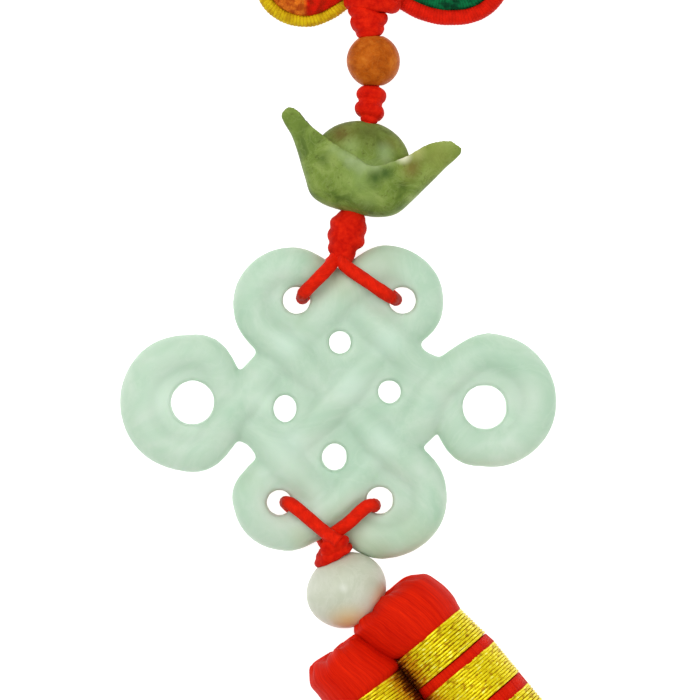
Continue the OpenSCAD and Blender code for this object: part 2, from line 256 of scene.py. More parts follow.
# ---- materials; colours are written as 0 to 255 and turned linear here
def linear(*colour):
    shares = [c / 255 for c in colour]
    return tuple(s / 12.92 if s <= 0.04045 else ((s + 0.055) / 1.055) ** 2.4 for s in shares) + (1,)


current = {}  # the node tree that new nodes go into


def newMaterial(name):
    material = bpy.data.materials.new(name)
    material.use_nodes = True
    current["tree"] = material.node_tree
    return material


def addNode(kind, inputs=None, **settings):
    node = current["tree"].nodes.new('ShaderNode' + kind)
    for key, value in settings.items():
        setattr(node, key, value)
    for key, value in (inputs or {}).items():
        if isinstance(value, bpy.types.NodeSocket):
            current["tree"].links.new(value, node.inputs[key])
        else:
            node.inputs[key].default_value = value
    return node


def mathNode(operation, first, second=0):
    return addNode('Math', {0: first, 1: second}, operation=operation).outputs[0]


def times(first, second):
    return mathNode('MULTIPLY', first, second)


def plus(first, second):
    return mathNode('ADD', first, second)


def mixColour(share, first, second):
    colours = {key: linear(*value) if isinstance(value, tuple) else value
               for key, value in ((6, first), (7, second))}
    return addNode('Mix', {0: share, **colours}, data_type='RGBA').outputs[2]


def colourRamp(value, stops):
    ramp = addNode('ValToRGB', {0: value})
    elements = ramp.color_ramp.elements
    while len(elements) > 1:
        elements.remove(elements[-1])
    for index, (place, colour) in enumerate(stops):
        element = elements[0] if index == 0 else elements.new(place)
        element.position = place
        element.color = linear(*colour)
    return ramp.outputs[0]


def objectPlace():
    return addNode('TexCoord').outputs["Object"]


def splitPlace(place):
    return addNode('SeparateXYZ', {0: place}).outputs


def uvPlace():
    return splitPlace(addNode('UVMap', uv_map="UVMap").outputs[0])


def stretchedPlace(first, second):
    return addNode('CombineXYZ', {0: first, 1: second}).outputs[0]


def noiseOf(place, scale, detail, roughness=0.5, twist=0):
    return addNode('TexNoise', {"Vector": place, "Scale": scale, "Detail": detail, "Roughness": roughness,
                                "Distortion": twist}).outputs["Fac"]


def spreadOver(value, low, high, toLow=0, toHigh=1, **settings):
    return addNode('MapRange', {"Value": value, "From Min": low, "From Max": high, "To Min": toLow,
                                "To Max": toHigh}, **settings).outputs[0]


# what changes over the surface is linked to the shader, the rest is set on its own sockets
def dressShader(material, body, rough, height, strength, depth, **plain):
    inputs = material.node_tree.nodes["Principled BSDF"].inputs
    bump = addNode('Bump', {"Strength": strength, "Distance": depth * mm, "Height": height})
    for socket, value in (("Base Color", body), ("Roughness", rough), ("Normal", bump.outputs[0])):
        material.node_tree.links.new(value, inputs[socket])
    titles = {"gloss": "Specular IOR Level", "shine": "Specular Tint", "ior": "IOR", "metal": "Metallic",
              "glow": "Subsurface Weight", "glowColour": "Subsurface Radius", "glowDepth": "Subsurface Scale"}
    for key, value in plain.items():
        inputs[titles[key]].default_value = value
    return material


# a shader node group: draw turns its named inputs into its named outputs
def makeGroup(name, takes, draw):
    group = current["tree"] = bpy.data.node_groups.new(name, 'ShaderNodeTree')
    for title in takes:
        group.interface.new_socket(name=title, in_out='INPUT', socket_type='NodeSocketFloat')
    values = draw(group.nodes.new('NodeGroupInput').outputs)
    for title in values:
        group.interface.new_socket(name=title, in_out='OUTPUT', socket_type='NodeSocketFloat')
    end = group.nodes.new('NodeGroupOutput')
    for title, value in values.items():
        group.links.new(value, end.inputs[title])
    return group


# cloud, veins and flecks of a polished stone
def drawFigure(given):
    coords = objectPlace()
    cloud = noiseOf(coords, given["Cloud Scale"], 4, 0.55, given["Stretch"])
    vein = noiseOf(coords, given["Cloud Scale"], 8, 0.62, 2.2)
    thin = mathNode('ABSOLUTE', mathNode('SUBTRACT', vein, 0.5))
    fleck = noiseOf(coords, given["Fleck Scale"], 3, 0.7)
    return {"Cloud": cloud, "Vein": spreadOver(thin, 0, 0.035, 1, 0),
            "Fleck": spreadOver(fleck, 0.56, 0.7), "Height": times(cloud, fleck)}


# grooves between the plies, fine fibres and worn patches of a cord, from its UV map
def drawLay(given):
    along, around = uvPlace()[:2]
    turn = mathNode('SUBTRACT', times(around, given["Plies"]), mathNode('DIVIDE', along, given["Pitch"]))
    wave = mathNode('COSINE', times(turn, fullTurn))
    drawn = stretchedPlace(times(along, 0.35), times(turn, 2.6))
    fibre = spreadOver(noiseOf(drawn, given["Fibre Scale"], 3, 0.6), 0.32, 0.68)
    return {"Groove": spreadOver(wave, -1, -0.2, 1, 0), "Fibre": fibre,
            "Patch": noiseOf(objectPlace(), 1100, 3), "Height": plus(times(wave, 0.35), fibre)}


stoneFigure = makeGroup("stoneFigure", ("Cloud Scale", "Fleck Scale", "Stretch"), drawFigure)
cordLay = makeGroup("cordLay", ("Plies", "Pitch", "Fibre Scale"), drawLay)
redShine = (1, 0.35, 0.2, 1)


def cordMaterial(name, look):
    material = newMaterial(name)
    lay = addNode('Group', {"Plies": look["plies"], "Pitch": look["pitch"], "Fibre Scale": look["fibre"]},
                  node_tree=cordLay).outputs
    body = mixColour(lay["Fibre"], look["shade"], look["light"])
    # painted shade: the grooves between the plies are darkened towards the deep colour
    body = mixColour(times(lay["Groove"], look["grooveShade"]), body, look["deep"])
    worn = spreadOver(lay["Patch"], 0.38, 0.6, look["mottle"], 0)
    body = mixColour(worn, body, look["deep"])
    if "second" in look:
        # the winding changes to a second thread part of the way across
        start = spot(look["second"]["from"], 0).x
        share = spreadOver(splitPlace(objectPlace())[0], start, start + 0.5 * mm)
        body = mixColour(share, body, mixColour(worn, look["second"]["colour"], look["deep"]))
    rough = spreadOver(lay["Patch"], 0.3, 0.7, look["rough"] - 0.06, look["rough"] + 0.08)
    return dressShader(material, body, rough, lay["Height"], look["bump"], 0.05, gloss=0.1,
                       shine=look["shine"])


redLook = {"plies": 5, "pitch": 1.1, "depth": 0.008, "drift": 0.05, "fibre": 6, "bump": 0.3, "mottle": 0.3,
           "shade": (210, 20, 8), "light": (240, 44, 16), "deep": (150, 8, 4), "grooveShade": 0.08,
           "rough": 0.62, "shine": redShine}
redCord = cordMaterial("redCord", redLook)
print("cord materials made")

# ---- hanging loop, the free cord
loop = {"radius": 0.725, "middle": 3.9, "top": 96.3,
        "side": [(0.9, 53.8, 2.4), (1.1, 54.9, 1.7), (1.7, 57, 1), (2.6, 61, 0.75), (3.5, 67, 0.75),
                 (4, 75, 0.75), (4, 82.3, 0.75), (3.8, 89.3, 0.75), (2.8, 94.1, 0.75)]}

loopRoute = [spot(loop["middle"] - x, y, z) for x, y, z in loop["side"]]
loopRoute += [spot(loop["middle"], loop["top"], 0.75)]
loopRoute += [spot(loop["middle"] + x, y, z) for x, y, z in reversed(loop["side"])]
hangingLoop, loopLine = cordPiece(loopRoute, loop["radius"], redLook)
finishPiece(hangingLoop, "hanging_loop", redCord)

# ---- carved jade knot
jade = {"strandWide": 4.9, "strandHigh": 4, "lift": 0.45, "middleZ": 3.58, "backZ": 1.68, "ground": 3.3,
        "groundWide": 12.2, "groundUnder": 0.6, "grain": 0.22, "meltSoft": 4, "edgeSoft": 16,
        "unevenness": (6, 0.16),
        "loops": {"left": (-17.4, -0.08, 8.03), "right": (17.65, 0.15, 7.75),
                  "topLeft": (-5.65, 11.35, 6.65), "topRight": (5.75, 11.7, 6.5),
                  "lowLeft": (-6, -11.1, 6.25), "lowRight": (5.6, -11.1, 7.1)},
        "crossings": {"top": (0.4, 12.2), "upperRight": (6.2, 7.4), "right": (11.8, 2.1),
                      "upperLeft": (-5.9, 6), "middle": (0, 0.4), "lowerRight": (5.8, -5.2),
                      "left": (-12.2, -1), "lowerLeft": (-6.4, -6.8), "bottom": (-0.6, -12.2)},
        # holes: x, y, radius, and how much longer than wide
        "holes": [(-16.9, -0.1, 2.6, 1), (17, -0.6, 2.6, 1), (-4.8, 11.8, 1.6, 1), (7.5, 11.8, 1.6, 1),
                  (-6.8, -11.7, 1.5, 1), (4.8, -11.4, 1.6, 1), (0.2, 6.9, 1.4, 1),
                  (-6.17, -0.72, 1.43, 1.16), (6, 1.2, 1.42, 1), (-0.42, -6.4, 1.54, 1.08)]}


def over(name, side=1):
    return Vector((*jade["crossings"][name], side * jade["lift"], 1))


def under(name):
    return over(name, -1)


def between(first, second):
    return (over(first, 0) + over(second, 0)) / 2


def loopBend(name, fromAngle, toAngle, steps):
    x, y, radius = jade["loops"][name]
    radius -= jade["strandWide"] / 2
    angles = [radians(fromAngle + (toAngle - fromAngle) * i / steps) for i in range(steps + 1)]
    return [Vector((x + radius * cos(a), y + radius * sin(a), 0, 1)) for a in angles]


# one closed strand runs through all nine crossings, over and under in turn; its fourth number is its girth
strandPath = [under("right"), Vector((8.65, 4.42, 0, 0.86)), over("upperRight"),
              between("upperRight", "top"), under("top"), *loopBend("topLeft", 62, 215, 5),
              over("upperLeft"), between("upperLeft", "middle"), under("middle"),
              between("middle", "lowerRight"), over("lowerRight"), *loopBend("lowRight", 35, -115, 5),
              under("bottom"), between("bottom", "lowerLeft"), over("lowerLeft"),
              Vector((-8.95, -3.55, 0, 0.86)), under("left"), *loopBend("left", 62, 290, 8), over("left"),
              between("left", "upperLeft"), under("upperLeft"), between("upperLeft", "top"), over("top"),
              *loopBend("topRight", 110, -28, 5), under("upperRight"), between("middle", "upperRight"),
              over("middle"), between("lowerLeft", "middle"), under("lowerLeft"),
              *loopBend("lowLeft", 166, 290, 5), over("bottom"), between("bottom", "lowerRight"),
              under("lowerRight"), Vector((9.25, -1.95, 0, 1.12)), over("right"),
              *loopBend("right", 105, -125, 9)]
flatten = jade["strandHigh"] / jade["strandWide"]
smoothStrand = smoothRoute(strandPath, 5, closed=True)
strandLine = [Vector((p.x, p.y, p.z / flatten)) * mm for p in smoothStrand]
jadeKnot = tubeAlong(strandLine, jade["strandWide"] / 2 * mm, 16, closed=True,
                     girths=[p.w for p in smoothStrand])
bpy.ops.transform.resize(value=(1, 1, flatten), center_override=(0, 0, 0))
jadeKnot.location = spot(0, 0, jade["middleZ"])
groundZ = jade["backZ"] + jade["ground"] / 2
groundParts = [addRod(64, radius - jade["strandWide"] / 2 + jade["groundUnder"], jade["ground"],
                      spot(x, y, groundZ)) for x, y, radius in jade["loops"].values()]
groundParts.append(addRod(4, jade["groundWide"], jade["ground"], spot(-0.1, 0, groundZ)))
joinInto(jadeKnot, groundParts)
bakePlace(jadeKnot)
melt(jadeKnot, jade["grain"], jade["meltSoft"])
drills = [addRod(48, radius, drillLong, spot(x, y, 4), scale=(1, longer, 1))
          for x, y, radius, longer in jade["holes"]]
cutAway(jadeKnot, joinInto(drills[0], drills[1:]))
editWhole(jadeKnot, bpy.ops.mesh.bisect, plane_co=(0, 0, jade["backZ"] * mm), plane_no=(0, 0, 1),
          use_fill=True, clear_inner=True)
melt(jadeKnot, jade["grain"], jade["edgeSoft"])
waver(jadeKnot, *jade["unevenness"])


# a polished stone; each tint, a patch of stone tone or of painted light, is x, y, z, reach, share, raggedness
# and colour
def stoneMaterial(name, look, tints):
    material = newMaterial(name)
    figure = addNode('Group', look["figure"], node_tree=stoneFigure).outputs
    body = colourRamp(figure["Cloud"], look["body"])
    for mark in ("vein", "fleck"):
        share, colour = look[mark]
        body = mixColour(times(figure[mark.title()], share), body, colour)
    coords = objectPlace()
    for x, y, z, reach, share, ragged, colour in tints:
        away = addNode('VectorMath', {0: coords, 1: spot(x, y, z)}, operation='DISTANCE')
        edge = times(figure["Cloud"], 2 * ragged * mm)
        mask = spreadOver(plus(away.outputs["Value"], edge), 0, reach * mm,
                          share, 0, interpolation_type='SMOOTHSTEP')
        body = mixColour(mask, body, colour)
    rough = spreadOver(figure["Fleck"], 0, 1, look["rough"], look["rough"] + 0.12)
    return dressShader(material, body, rough, figure["Height"], look["bump"], 0.03, gloss=look["gloss"],
                       shine=look["shine"], ior=1.6, glow=look["glow"], glowColour=(1, 1, 0.9),
                       glowDepth=look["glowDepth"] * mm)


white = (1, 1, 1, 1)
jadeLook = {"figure": {"Cloud Scale": 110, "Fleck Scale": 900, "Stretch": 1.4},
            "body": [(0.3, (172, 203, 178)), (0.5, (185, 210, 188)), (0.7, (197, 216, 198))],
            "vein": (0.22, (203, 221, 203)), "fleck": (0.12, (168, 199, 172)), "rough": 0.42,
            "bump": 0.2, "gloss": 0.22, "shine": white, "glow": 0.7, "glowDepth": 1.8}
# painted highlights: the first five tints light the strands where they pass over at the crossings; the other
# tints make the stone lighter or darker in patches
jadeTonesAndHighlights = [
    (-5.8, 6.9, 5.6, 2.7, 0.6, 0, (204, 226, 210)), (5.8, 6.9, 5.6, 2.6, 0.6, 0, (204, 226, 210)),
    (1.6, 1.9, 5.6, 3.2, 0.55, 0, (204, 226, 210)), (-5.7, -4.6, 5.6, 3, 0.5, 0, (202, 224, 208)),
    (5, -4.6, 5.6, 3.2, 0.5, 0, (202, 224, 208)), (0.5, 15, 4, 5.5, 0.45, 0, (188, 200, 164)),
    (1.5, -15.5, 4, 6, 0.5, 0, (180, 194, 158)), (-7.5, -14.5, 4, 6, 0.4, 0, (192, 204, 188)),
    (8.5, -15.5, 4, 4.5, 0.4, 0, (172, 192, 154)), (-10.6, 13.2, 5, 4.2, 0.6, 0.6, (178, 206, 182)),
    (-4.4, 9.5, 5, 3, 0.7, 0.4, (172, 200, 172)), (0.8, 13, 5, 2.6, 0.6, 0.3, (176, 194, 168)),
    (5.5, 16.4, 5, 4, 0.7, 0.5, (172, 192, 164)), (-3.2, 0.2, 5, 2.6, 0.6, 0.3, (172, 202, 176)),
    (-9, 0.2, 5, 2.8, 0.8, 0.3, (214, 234, 216)), (-20.3, 0.5, 5, 5, 0.7, 0.6, (210, 230, 212)),
    (10.7, -0.6, 5, 2.8, 0.6, 0.4, (168, 204, 180)), (7, 3.2, 5, 2.6, 0.6, 0.3, (168, 200, 174)),
    (-10.2, -9, 5, 3.2, 0.6, 0.4, (176, 200, 174)), (-4.4, -9.2, 5, 3, 0.6, 0.4, (172, 196, 172)),
    (4.9, -8.2, 5, 2.6, 0.5, 0.3, (174, 202, 178)), (7.2, -13.7, 5, 3.6, 0.6, 0.4, (168, 194, 166)),
    (5, -16.8, 4, 3, 0.8, 0.2, (150, 164, 124)), (-4.4, -15.2, 4, 2.6, 0.6, 0.2, (190, 190, 146))]
finishPiece(jadeKnot, "jade_knot", stoneMaterial("jadeStone", jadeLook, jadeTonesAndHighlights), "carvedJadeKnot")
print("jade knot carved,", len(jadeKnot.data.polygons), "faces")

# ---- round beads; shape is how much broader one way, and how flat where the knot sits
beads = {"orange": {"at": (4.08, 39.6, 3.1), "radius": 3.1, "lean": (-90, 0, 0), "shape": (1, 1)},
         "white": {"at": (0.92, -21.66, 4.5), "radius": 4.5, "lean": (0, 85, 122), "shape": (1.05, 0.91)},
         "bore": 1, "soften": 0.15, "unevenness": (3.5, 0.07)}


# a ball with its poles cut out, the two rims bridged to a bore and softened
def turnBead(bead):
    clearSelection()
    bpy.ops.mesh.primitive_uv_sphere_add(segments=72, ring_count=54, radius=bead["radius"] * mm)
    ball = bpy.context.object
    toMode('EDIT')
    bpy.ops.mesh.select_all(action='DESELECT')
    toMode('OBJECT')
    for vertex in ball.data.vertices:
        vertex.select = hypot(vertex.co.x, vertex.co.y) < (beads["bore"] - 0.03) * mm
    toMode('EDIT')
    bpy.ops.mesh.delete(type='VERT')
    bpy.ops.mesh.select_non_manifold()
    bpy.ops.mesh.bridge_edge_loops()
    bpy.ops.mesh.select_all(action='DESELECT')
    toMode('OBJECT')
    inner = min(hypot(v.co.x, v.co.y) for v in ball.data.vertices)
    for edge in ball.data.edges:
        ends = [ball.data.vertices[i].co for i in edge.vertices]
        edge.select = (all(hypot(p.x, p.y) < inner * 1.02 for p in ends)
                       and abs(ends[0].z - ends[1].z) < 1e-6)
    toMode('EDIT')
    bpy.ops.mesh.bevel(offset=beads["soften"] * mm, segments=3)
    editWhole(ball, bpy.ops.mesh.normals_make_consistent)
    waver(ball, *beads["unevenness"])
    across, flat = bead["shape"]
    for vertex in ball.data.vertices:
        vertex.co.y *= across
        vertex.co.z *= flat if vertex.co.z > 0 else 1
    ball.rotation_euler = [radians(a) for a in bead["lean"]]
    ball.location = spot(*bead["at"])
    return ball


orangeLook = {"figure": {"Cloud Scale": 700, "Fleck Scale": 2400, "Stretch": 0.6},
              "body": [(0.3, (154, 69, 11)), (0.5, (182, 89, 18)), (0.72, (200, 112, 33))],
              "vein": (0.2, (206, 132, 56)), "fleck": (0.45, (136, 60, 14)), "rough": 0.36,
              "bump": 0.4, "gloss": 0.04, "shine": (1, 0.62, 0.3, 1), "glow": 0.1, "glowDepth": 0.5}
whiteLook = {"figure": {"Cloud Scale": 160, "Fleck Scale": 900, "Stretch": 0.8},
             "body": [(0.3, (188, 194, 172)), (0.5, (198, 203, 183)), (0.7, (207, 211, 194))],
             "vein": (0.3, (214, 217, 202)), "fleck": (0.2, (186, 192, 171)), "rough": 0.34,
             "bump": 0.2, "gloss": 0.26, "shine": white, "glow": 0.5, "glowDepth": 1.4}
# painted light: the first two tints are a painted warm reflection of the red tassels on the bead's lower
# side, the third a small painted highlight
whiteBeadPaintedLight = [
    (1.3, -25.5, 7.2, 3.6, 0.95, 0.2, (218, 190, 132)), (5, -22.9, 6.4, 2.7, 0.85, 0.2, (216, 180, 136)),
    (0.7, -21.5, 9, 0.8, 0.4, 0, (226, 228, 218))]
for kind, look, tints in (("orange", orangeLook, []), ("white", whiteLook, whiteBeadPaintedLight)):
    stone = stoneMaterial(kind + "Stone", look, tints)
    finishPiece(turnBead(beads[kind]), kind + "_bead", stone)
print("round beads turned")

# ---- ingot bead: rows run from tip to tip (across, low edge, rim, share of thickness),
# and side is a ring's half section (share of thickness, share of the rise to the rim)
ingot = {"at": (2.6, 27.2, 4.4), "turn": -11, "halfThick": 4.4, "bore": 1, "grain": 0.17, "soften": 6,
         "unevenness": (4, 0.14),
         "rows": [
             (-10.1, 4, 4.7, 0.1), (-9.5, 3.2, 5.4, 0.2), (-8.5, 2.1, 5.2, 0.3), (-7.6, 0.6, 4.5, 0.42),
             (-6.8, -1, 3.9, 0.58), (-6, -2.5, 3.4, 0.74), (-5, -4.2, 2.9, 0.86), (-3.3, -5, 2.1, 0.96),
             (-1, -5.3, 1.2, 1), (1.1, -5.4, 0.4, 1), (3, -5.25, 1.1, 0.97), (5.2, -4.45, 2.5, 0.86),
             (6.8, -2.5, 3.8, 0.68), (8.2, -0.4, 4.6, 0.46), (9.6, 1.75, 5, 0.3), (10.5, 2.9, 4.75, 0.18),
             (11.1, 3.8, 4.4, 0.08)],
         "side": [(0.22, 0), (0.45, 0.025), (0.66, 0.08), (0.84, 0.19), (0.95, 0.38), (1, 0.62), (1, 0.84),
                  (0.93, 1), (0.76, 0.96), (0.52, 0.8), (0.3, 0.72)],
         "dome": {"at": (0.05, 1), "size": (5.62, 4.35, 3.45)}}


def ingotRing(u, low, rim, thick):
    half = [Vector((u, low + rise * (rim - low), share * thick * ingot["halfThick"]))
            for share, rise in ingot["side"]]
    return [Vector(p) for p in reversed(half)] + [Vector((p.x, p.y, -p.z)) for p in half]


# the boat starts as one ring at its left tip and is drawn out ring by ring to the right tip
rowLine = smoothRoute([Vector(row[:3]) for row in ingot["rows"]], 4)
thickLine = smoothRoute([Vector((row[3], 0, 0)) for row in ingot["rows"]], 4)
rings = [ingotRing(*place, thick.x) for place, thick in zip(rowLine, thickLine)]
clearSelection()
bpy.ops.mesh.primitive_circle_add(vertices=len(rings[0]), radius=mm, fill_type='NGON')
boat = bpy.context.object
for number, ring in enumerate(rings):
    if number:
        toMode('EDIT')
        bpy.ops.mesh.extrude_region_move()
        toMode('OBJECT')
    for vertex, place in zip([v for v in boat.data.vertices if v.select or not number], ring):
        vertex.co = place * mm
editWhole(boat, bpy.ops.mesh.normals_make_consistent)
bpy.ops.mesh.primitive_uv_sphere_add(segments=48, ring_count=32, radius=1,
                                     location=Vector((*ingot["dome"]["at"], 0)) * mm,
                                     scale=Vector(ingot["dome"]["size"]) * mm)
joinInto(boat, [bpy.context.object])
melt(boat, ingot["grain"], ingot["soften"])
cutAway(boat, addRod(32, ingot["bore"], drillLong, rotation=(radians(90), 0, 0)))
waver(boat, *ingot["unevenness"])
boat.rotation_euler = (0, 0, radians(ingot["turn"]))
boat.location = spot(*ingot["at"])
greenLook = {"figure": {"Cloud Scale": 360, "Fleck Scale": 1900, "Stretch": 0.5},
             "body": [(0.3, (78, 98, 38)), (0.43, (102, 124, 52)), (0.55, (120, 142, 64)),
                      (0.7, (142, 160, 86))],
             "vein": (0.3, (152, 168, 100)), "fleck": (0.75, (86, 98, 40)), "rough": 0.46,
             "bump": 0.45, "gloss": 0.05, "shine": (0.85, 1, 0.6, 1), "glow": 0.15, "glowDepth": 0.6}
# the near-white tint at (7.5, 28.5) is a painted highlight; the other tints make the stone lighter or darker
# in patches
greenTonesAndHighlight = [
    (3.6, 31.4, 6.8, 6, 0.9, 1.2, (84, 90, 38)), (0.3, 31.2, 6.8, 4.4, 0.95, 1.4, (104, 76, 40)),
    (6.4, 30, 6.7, 3, 0.7, 1.2, (104, 86, 40)), (10.5, 29.2, 5, 7, 0.9, 1, (150, 160, 78)),
    (-5.5, 31, 5, 6.5, 0.6, 1, (106, 128, 56)), (2.4, 25.8, 8.7, 4.6, 0.75, 1.4, (146, 170, 96)),
    (3.6, 23.4, 8.4, 3, 0.6, 0.8, (140, 160, 92)), (8.4, 26.9, 8, 3, 0.8, 0.8, (126, 104, 52)),
    (-0.5, 29.3, 8.5, 2, 0.6, 0.6, (156, 174, 124)), (0.5, 28.6, 8.7, 2.2, 0.75, 0.8, (166, 184, 136)),
    (1.6, 28, 8.75, 2.4, 0.85, 0.8, (168, 186, 138)), (3, 27.3, 8.7, 2.2, 0.85, 0.6, (164, 182, 132)),
    (4.4, 27.2, 8.5, 1.9, 0.85, 0.4, (164, 182, 128)), (5.8, 27.9, 7.9, 1.9, 0.85, 0.4, (166, 180, 122)),
    (9, 29.1, 7.7, 2, 0.85, 0.3, (178, 180, 112)), (7.5, 28.5, 7.95, 1.5, 1, 0.1, (240, 238, 206)),
    (4.3, 25.9, 8.74, 2.1, 1, 0.4, (62, 88, 36)), (5.5, 26.4, 8.6, 1.6, 1, 0.2, (66, 92, 40)),
    (-1.7, 28.1, 8.45, 2.4, 0.9, 0.7, (78, 98, 44)), (12.6, 31.1, 6, 2.8, 0.6, 0.3, (172, 184, 112)),
    (5.4, 28.9, 7.1, 2.2, 0.7, 0.4, (150, 172, 116)), (1.4, 29.6, 7.7, 2.2, 0.55, 0.4, (138, 160, 100))]
finishPiece(boat, "ingot_bead", stoneMaterial("greenStone", greenLook, greenTonesAndHighlight))
print("ingot bead shaped,", len(boat.data.polygons), "faces")

# ---- red cords that carry the stones
carrying = {"radius": 0.79, "gap": 0.12, "squeeze": 0.2, "inBore": (-4.3, -2.2, 0, 2.2, 3.8)}
cordRoutes = {
    "main_cord": [
        (4, 47, 3.05), (4.05, 44, 3.05), (4.06, 42, 3.05), (4.06, 39.6, 3.05), (4.06, 37.4, 3.05),
        (3.95, 36, 3.2), (3.75, 34.4, 3.8), (3.6, 32.8, 4.35), (3.1, 29.9, 4.4), (2.6, 27.2, 4.4),
        (2.1, 24.6, 4.4), (1.6, 22, 4.4), (1.1, 19.8, 4.3)],
    "upper_sling_left": [
        (-0.3, 16.8, 4.9), (-0.62, 16.2, 5.6), (-1.05, 15.6, 6.2), (-1.65, 14.95, 6.7), (-2.4, 14.2, 6.75),
        (-3.15, 13.45, 6.5), (-3.8, 12.8, 5.7), (-4.1, 12.5, 4.3), (-4.15, 12.3, 2.6), (-4.15, 12.05, 1.5),
        (-3.7, 12.6, 0.85), (-3.1, 13.3, 0.79), (-2, 14.9, 0.79), (-0.7, 16.3, 1.4), (-0.05, 16.9, 2.8)],
    "upper_sling_right": [
        (0.35, 16.7, 5.1), (0.6, 16.05, 6), (1.5, 15.25, 6.6), (2.9, 14.3, 6.85), (4.2, 13.4, 6.8),
        (5.25, 12.7, 6.4), (6, 12.2, 5.5), (6.4, 12, 4.2), (6.6, 11.95, 2.6), (6.7, 11.9, 1.5),
        (6.2, 12.3, 0.85), (5.4, 12.9, 0.79), (3.4, 14.5, 0.79), (2, 15.6, 0.85), (1.1, 16.3, 1.5),
        (0.65, 16.9, 2.8)],
    "lower_sling_left": [
        (0.1, -16.1, 7.7), (-0.8, -15.5, 7.4), (-1.9, -14.7, 7), (-3.2, -13.6, 6.8), (-4.5, -12.5, 6.7),
        (-5.3, -11.9, 6.3), (-5.75, -11.65, 5.4), (-5.95, -11.6, 4.2), (-6.05, -11.6, 2.4),
        (-6, -11.8, 1.1), (-5.1, -12.6, 0.75), (-3.2, -14.2, 0.78), (-1.9, -15.8, 1.1), (-1.5, -16.6, 2.4),
        (-1.4, -16.5, 4.6)],
    "lower_sling_right": [
        (-1.6, -16, 5.7), (-0.8, -15.45, 5.7), (0.1, -14.8, 6.3), (1.4, -13.8, 6.75), (2.5, -12.75, 6.75),
        (3.4, -12.05, 6.3), (3.95, -11.95, 5.4), (4.2, -12.15, 4.2), (4.3, -12.1, 2.4), (4.1, -12, 1.2),
        (3.2, -12.9, 0.75), (1.8, -14.4, 0.78), (0.4, -16, 1.1), (0.1, -16.5, 2.4), (0.15, -16.4, 4.6)]}
for node, route in cordRoutes.items():
    cordTube, _ = cordPiece([spot(*p) for p in route], carrying["radius"], redLook, gap=carrying["gap"],
                            squeeze=carrying["squeeze"] if "sling" in node else 0)
    finishPiece(cordTube, node, redCord)

_, boreTip, boreHeading = [radians(a) for a in beads["white"]["lean"]]
boreWay = Matrix.Rotation(boreHeading, 3, 'Z') @ Matrix.Rotation(boreTip, 3, 'Y') @ Vector((0, 0, 1))
boreMiddle = spot(*beads["white"]["at"])
beadCordRoute = [boreMiddle + boreWay * (s * mm) for s in carrying["inBore"]]
finishPiece(cordPiece(beadCordRoute, loop["radius"], redLook)[0], "bead_cord", redCord)
print("stringing cords laid")

# ---- knots: turns of cord, each x, y, z, half width, half depth, cord radius, slant, lean
knots = {
    "sides": 14, "steps": 72, "lay": 0.8, "grain": 0.12, "waves": 1.1,
    "upper_knot": [
        (3.1, 45.1, 3.05, 1.25, 1, 0.78, -16, 0), (3.6, 44.3, 3.05, 1.42, 1.1, 0.82, 8, 8),
        (3.45, 43.5, 3.05, 1.12, 1.05, 0.86, -16, -8), (3.68, 43, 3.05, 0.92, 0.9, 0.72, 6, 0)],
    "bead_knot": [
        (3.88, 35.6, 3.4, 0.86, 0.85, 0.92, -8, -12), (3.66, 33.75, 4, 0.88, 0.85, 0.92, -18, -12),
        (3.74, 34.6, 3.7, 0.58, 0.6, 0.85, -24, 10), (3.62, 32.8, 4.35, 0.4, 0.4, 0.64, -6, -10)],
    "sling_knot": [
        (1.6, 21.95, 4.3, 0.62, 0.8, 0.7, -8, 0), (1.5, 21.3, 4.27, 0.95, 1.05, 0.78, -8, 3),
        (1.2, 20.5, 4.25, 1.42, 1.2, 0.82, -10, 5), (1.05, 19.7, 4.2, 1.52, 1.25, 0.82, 8, -4),
        (0.93, 18.9, 4.2, 1.42, 1.25, 0.82, -12, 4), (0.72, 18.1, 4.2, 1.2, 1.2, 0.8, 10, 4),
        (0.56, 17.35, 4.35, 0.82, 0.95, 0.76, -10, 0), (0.42, 16.6, 4.7, 0.6, 0.75, 0.72, 0, 0)],
    "lower_knot": [
        (-0.6, -15.75, 6.75, 0.85, 0.4, 0.72, -26, 0), (-0.35, -16.4, 6.7, 1.05, 0.45, 0.72, 22, -8),
        (-0.6, -16.95, 6.5, 0.85, 0.45, 0.68, 24, -20)],
    "top_knot": [
        (3.95, 46.3, 2.6, 2.4, 1.45, 1, -5, 0), (3.9, 47.7, 2.6, 2.75, 1.55, 1, -7, 0),
        (3.9, 49.2, 2.6, 2.8, 1.55, 1, 7, 0), (3.9, 50.7, 2.6, 2.75, 1.55, 1, -7, 0),
        (3.9, 52.15, 2.6, 2.5, 1.45, 1, 8, 0)]}


def turnOfCord(x, y, z, halfWide, halfDeep, radius, slant, lean):
    tip = Matrix.Rotation(radians(slant), 3, 'Z') @ Matrix.Rotation(radians(lean), 3, 'X')
    ring = []
    for i in range(knots["steps"]):
        angle = fullTurn * i / knots["steps"] - pi / 2
        ring.append(spot(x, y, z) + tip @ Vector((halfWide * cos(angle), 0, halfDeep * sin(angle))) * mm)
    tube = tubeAlong(ring, radius * mm, knots["sides"], closed=True)
    pressTwist(tube, ring, knots["sides"], redLook, knots["lay"])
    return tube


# the turns of a knot are drawn tight: they melt into one lumpy body with soft creases
def tieKnot(node, extras=(), soften=4, uneven=0.1):
    parts = [turnOfCord(*turn) for turn in knots[node]] + list(extras)
    body = joinInto(parts[0], parts[1:])
    melt(body, knots["grain"], soften)
    waver(body, knots["waves"], uneven)
    finishPiece(body, node, redKnot)


# a closed ring of cord round the white bead's bore
def collarTurn(away, wide, radius):
    heading, lean = radians(collar["heading"]), radians(collar["lean"])
    way = Vector((cos(heading) * cos(lean), sin(heading) * cos(lean), sin(lean)))
    turned = way.to_track_quat('Z', 'Y').to_matrix()
    centre = boreMiddle + (Vector(collar["shift"]) + way * away) * mm
    ring = [centre + turned @ Vector((wide * cos(t), wide * sin(t), 0)) * mm
            for t in (fullTurn * i / collar["steps"] for i in range(collar["steps"]))]
    return tubeAlong(ring, radius * mm, knots["sides"], closed=True)


